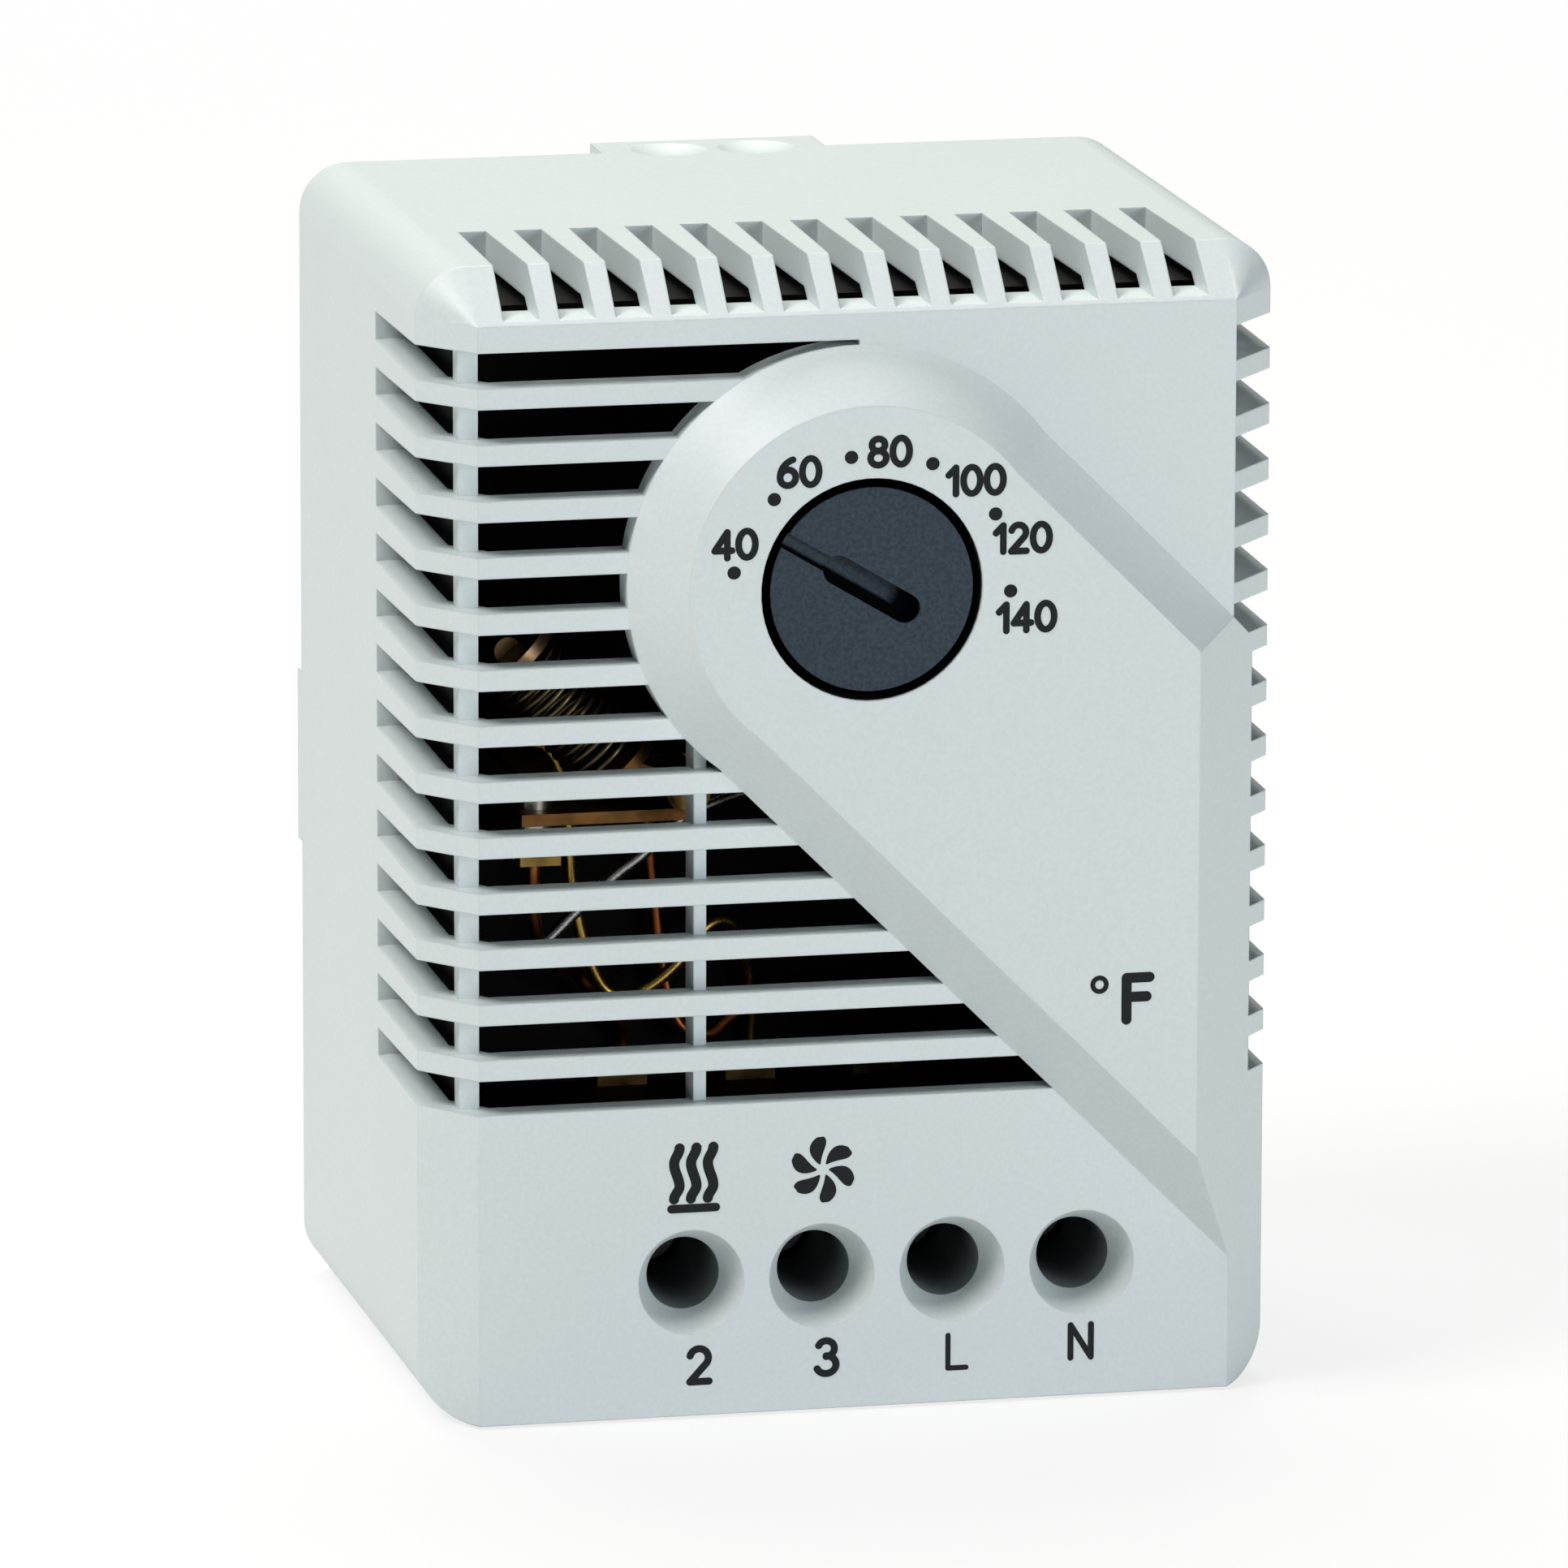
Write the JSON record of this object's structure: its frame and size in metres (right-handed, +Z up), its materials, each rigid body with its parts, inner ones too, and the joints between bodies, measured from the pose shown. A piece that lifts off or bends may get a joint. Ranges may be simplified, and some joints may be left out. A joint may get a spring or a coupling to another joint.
{
  "type": "bimetal changeover thermostat for rail mounting",
  "caption": "Small electromechanical thermostat with a louvred light grey housing, a slotted setting dial on a raised panel, clamp terminals along the foot and a sprung rail hook.",
  "frame": {"origin": "centre of the bounding box in X and Y, at the underside of the base", "axes": "+X to the right seen from the front, +Y from the front to the rail behind, +Z up"},
  "size_m": [0.05, 0.046, 0.067],
  "materials": {
    "housing_shell": "light bluish grey moulded ABS with a fine satin grain",
    "rear_moulding": "light grey moulded ABS, satin",
    "dial_plastic": "dark slate moulded plastic with a fine spark-eroded grain",
    "steel_plated": "zinc plated steel, satin",
    "spring_steel": "drawn spring wire, warm grey",
    "cam_plastic": "natural acetal, slightly glossy",
    "chassis_bakelite": "very dark brown phenolic moulding, slightly glossy",
    "bimetal": "rolled bimetal strip, warm matt grey",
    "brass": "rolled brass, slightly tarnished",
    "contact_silver": "silver contact alloy, bright",
    "ceramic_body": "brown ceramic with a dull coat",
    "tinned_wire": "tinned copper wire, bright",
    "copper_wire": "bare copper wire",
    "block_plastic": "black moulded polyamide"
  },
  "bodies": {
    "housing": {"front_cover": "housing_shell", "rear_cover": "rear_moulding", "latch_spring": "spring_steel", "chassis": "chassis_bakelite", "lever_pin": "steel_plated", "arm_pivot": "brass", "spring_seat": "steel_plated", "snap_spring": "spring_steel", "cooling_contact": "brass", "heating_contact": "brass", "feedback_resistor": "ceramic_body", "resistor_leads": "tinned_wire", "heating_lead": "copper_wire", "cooling_lead": "brass", "common_lead": "copper_wire", "terminal_block": "block_plastic", "terminal_rail_1": "brass", "terminal_rail_2": "brass", "terminal_rail_3": "brass", "terminal_rail_4": "brass"},
    "latch": {"rail_latch": "rear_moulding"},
    "dial": {"dial_knob": "dial_plastic", "dial_spindle": "steel_plated", "spindle_clip": "spring_steel", "setting_cam": "cam_plastic"},
    "lever": {"setting_lever": "steel_plated", "calibration_screw": "brass", "bimetal_strip": "bimetal", "bimetal_rivets": "brass"},
    "arm": {"contact_arm": "brass", "moving_contact": "contact_silver"},
    "screw_1": {"terminal_screw_1": "steel_plated"},
    "clamp_1": {"wire_clamp_1": "steel_plated"},
    "screw_2": {"terminal_screw_2": "steel_plated"},
    "clamp_2": {"wire_clamp_2": "steel_plated"},
    "screw_3": {"terminal_screw_3": "steel_plated"},
    "clamp_3": {"wire_clamp_3": "steel_plated"},
    "screw_4": {"terminal_screw_4": "steel_plated"},
    "clamp_4": {"wire_clamp_4": "steel_plated"}
  },
  "joints": [
    {"name": "dial_turn", "type": "hinge", "parent": "housing", "child": "dial", "pos_m": [0, -0.0215, 0.0488], "axis": [0, 1, 0], "range_deg": [-28.5, 148]},
    {"name": "lever_turn", "type": "hinge", "parent": "housing", "child": "lever", "pos_m": [0.012, -0.00925, 0.04], "axis": [0, 1, 0], "range_deg": [-2.1, 10.1]},
    {"name": "arm_turn", "type": "hinge", "parent": "housing", "child": "arm", "pos_m": [-0.0086, -0.0114, 0.0355], "axis": [0, 1, 0], "range_deg": [-2, 2]},
    {"name": "latch_slide", "type": "slide", "parent": "housing", "child": "latch", "axis": [0, 0, 1], "range_m": [-0.002, 0], "stiffness_N_per_m": 2000, "springref_m": 0.0015, "deforming": ["latch_spring"]},
    {"name": "screw_turn_1", "type": "hinge", "parent": "housing", "child": "screw_1", "pos_m": [-0.0097, -0.006, 0.0079], "axis": [0, 1, 0], "range_deg": [0, 1080]},
    {"name": "screw_turn_2", "type": "hinge", "parent": "housing", "child": "screw_2", "pos_m": [-0.00201, -0.006, 0.0079], "axis": [0, 1, 0], "range_deg": [0, 1080]},
    {"name": "screw_turn_3", "type": "hinge", "parent": "housing", "child": "screw_3", "pos_m": [0.00568, -0.006, 0.0079], "axis": [0, 1, 0], "range_deg": [0, 1080]},
    {"name": "screw_turn_4", "type": "hinge", "parent": "housing", "child": "screw_4", "pos_m": [0.01337, -0.006, 0.0079], "axis": [0, 1, 0], "range_deg": [0, 1080]},
    {"name": "clamp_slide_1", "type": "slide", "parent": "housing", "child": "clamp_1", "axis": [0, 1, 0], "range_m": [-0.0015, 0]},
    {"name": "clamp_slide_2", "type": "slide", "parent": "housing", "child": "clamp_2", "axis": [0, 1, 0], "range_m": [-0.0015, 0]},
    {"name": "clamp_slide_3", "type": "slide", "parent": "housing", "child": "clamp_3", "axis": [0, 1, 0], "range_m": [-0.0015, 0]},
    {"name": "clamp_slide_4", "type": "slide", "parent": "housing", "child": "clamp_4", "axis": [0, 1, 0], "range_m": [-0.0015, 0]}
  ],
  "couplings": [
    {"joint": "lever_turn", "follows": "dial_turn", "ratio": 0.0664},
    {"joint": "screw_turn_1", "follows": "clamp_slide_1", "rad_per_m": -12566},
    {"joint": "screw_turn_2", "follows": "clamp_slide_2", "rad_per_m": -12566},
    {"joint": "screw_turn_3", "follows": "clamp_slide_3", "rad_per_m": -12566},
    {"joint": "screw_turn_4", "follows": "clamp_slide_4", "rad_per_m": -12566}
  ]
}
